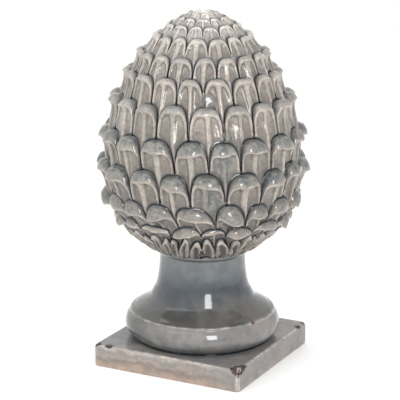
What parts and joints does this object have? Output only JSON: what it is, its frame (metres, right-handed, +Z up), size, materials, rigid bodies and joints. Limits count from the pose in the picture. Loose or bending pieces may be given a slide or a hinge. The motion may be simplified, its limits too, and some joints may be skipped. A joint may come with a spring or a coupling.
{
  "type": "acorn finial",
  "caption": "Glazed ceramic garden finial: an egg of overlapping turned-out scales on a waisted round pedestal with a square plinth, for a gate pier, wall end or shelf.",
  "frame": {"origin": "centre of the underside of the plinth", "axes": "+Z up along the axis of the pedestal, X and Y along the sides of the square plinth"},
  "size_m": [0.2659, 0.2644, 0.4408],
  "materials": {
    "grey_glaze": "glossy grey-blue glaze over a beige ceramic body, thin on the rims and pooled dark in the grooves"
  },
  "bodies": {
    "root": {"acorn_finial": "grey_glaze"}
  },
  "joints": []
}
